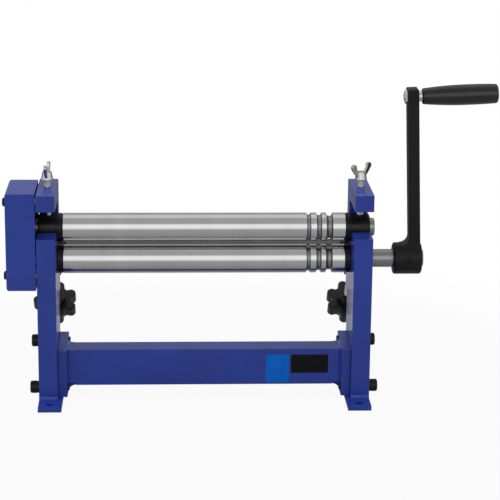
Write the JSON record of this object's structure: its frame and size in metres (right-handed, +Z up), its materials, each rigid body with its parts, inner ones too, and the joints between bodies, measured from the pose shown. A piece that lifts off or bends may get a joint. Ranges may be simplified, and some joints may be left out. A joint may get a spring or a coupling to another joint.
{
  "type": "slip roll machine",
  "caption": "Bench slip roll with steel rolls between side plates, a hand crank, wing screws for pinch, star knobs for the rear roll and a gear cover.",
  "frame": {"origin": "centre of the pattern of foot holes, on the bench surface", "axes": "+Z up, +X along the rolls towards the crank, +Y towards the rear roll"},
  "size_m": [0.5257, 0.2082, 0.3416],
  "materials": {
    "blue_paint": "gloss royal blue paint over castings",
    "blue_sheet": "gloss royal blue paint over folded sheet steel",
    "ground_steel": "ground steel with fine turning lines",
    "black_bushing": "blackened steel, satin",
    "black_casting": "black powder coat",
    "black_fastener": "black oxide",
    "zinc_fastener": "bright zinc plate",
    "gear_steel": "cut steel, oiled",
    "black_knob": "moulded black phenolic",
    "black_grip": "satin black moulded plastic"
  },
  "bodies": {
    "frame": {"plate_right": "blue_paint", "plate_left": "blue_paint", "cross_beam": "blue_paint", "frame_bolts": "black_fastener", "spring_washers": "black_fastener", "lower_bushing_right": "black_bushing", "lower_bushing_left": "black_bushing", "gear_cover": "blue_sheet", "cover_posts": "zinc_fastener", "cover_screws": "black_fastener"},
    "lower_roll": {"lower_roll": "ground_steel", "lower_gear": "gear_steel", "crank_arm": "black_casting", "crank_set_screw": "black_fastener", "grip_pin": "zinc_fastener"},
    "crank_grip": {"crank_grip": "black_grip"},
    "top_bearings": {"top_bushing_right": "black_bushing", "top_bushing_left": "black_bushing"},
    "top_roll": {"top_roll": "ground_steel", "top_gear": "gear_steel"},
    "wing_screw_right": {"wing_screw_right": "zinc_fastener"},
    "wing_screw_left": {"wing_screw_left": "zinc_fastener"},
    "rear_bearings": {"rear_bushing_right": "black_bushing", "rear_bushing_left": "black_bushing"},
    "rear_roll": {"rear_roll": "ground_steel"},
    "rear_screw_right": {"star_knob_right": "black_knob", "knob_screw_right": "zinc_fastener"},
    "rear_screw_left": {"star_knob_left": "black_knob", "knob_screw_left": "zinc_fastener"}
  },
  "joints": [
    {"name": "crank_turn", "type": "hinge", "parent": "frame", "child": "lower_roll", "pos_m": [0, 0.0125, 0.1498], "axis": [1, 0, 0], "continuous": true},
    {"name": "grip_spin", "type": "hinge", "parent": "lower_roll", "child": "crank_grip", "pos_m": [0.22106, 0.0125, 0.32766], "axis": [0.9992, 0, 0.0401], "continuous": true},
    {"name": "top_slide", "type": "slide", "parent": "frame", "child": "top_bearings", "axis": [0, 0, 1], "range_m": [-0.0035, 0.0125]},
    {"name": "top_roll_turn", "type": "hinge", "parent": "top_bearings", "child": "top_roll", "pos_m": [0, 0.0125, 0.1849], "axis": [1, 0, 0], "continuous": true},
    {"name": "top_screw_right", "type": "hinge", "parent": "top_bearings", "child": "wing_screw_right", "pos_m": [0.168, 0.0125, 0.23], "axis": [0, 0, 1], "range_deg": [-1009, 3601]},
    {"name": "top_screw_left", "type": "hinge", "parent": "top_bearings", "child": "wing_screw_left", "pos_m": [-0.168, 0.0125, 0.23], "axis": [0, 0, 1], "range_deg": [-1009, 3601]},
    {"name": "rear_slide", "type": "slide", "parent": "frame", "child": "rear_bearings", "axis": [0, -0.6428, 0.766], "range_m": [0, 0.028]},
    {"name": "rear_roll_turn", "type": "hinge", "parent": "rear_bearings", "child": "rear_roll", "pos_m": [0, 0.0615, 0.143], "axis": [1, 0, 0], "continuous": true},
    {"name": "rear_screw_right", "type": "hinge", "parent": "rear_bearings", "child": "rear_screw_right", "pos_m": [0.168, 0.0615, 0.143], "axis": [0, -0.6428, 0.766], "range_deg": [-1, 6721]},
    {"name": "rear_screw_left", "type": "hinge", "parent": "rear_bearings", "child": "rear_screw_left", "pos_m": [-0.168, 0.0615, 0.143], "axis": [0, -0.6428, 0.766], "range_deg": [-1, 6721]}
  ],
  "couplings": [
    {"joint": "top_roll_turn", "follows": "crank_turn", "ratio": -1},
    {"joint": "top_screw_right", "follows": "top_slide", "rad_per_m": 5026.5},
    {"joint": "top_screw_left", "follows": "top_slide", "rad_per_m": 5026.5},
    {"joint": "rear_screw_right", "follows": "rear_slide", "rad_per_m": 4188.8},
    {"joint": "rear_screw_left", "follows": "rear_slide", "rad_per_m": 4188.8}
  ]
}
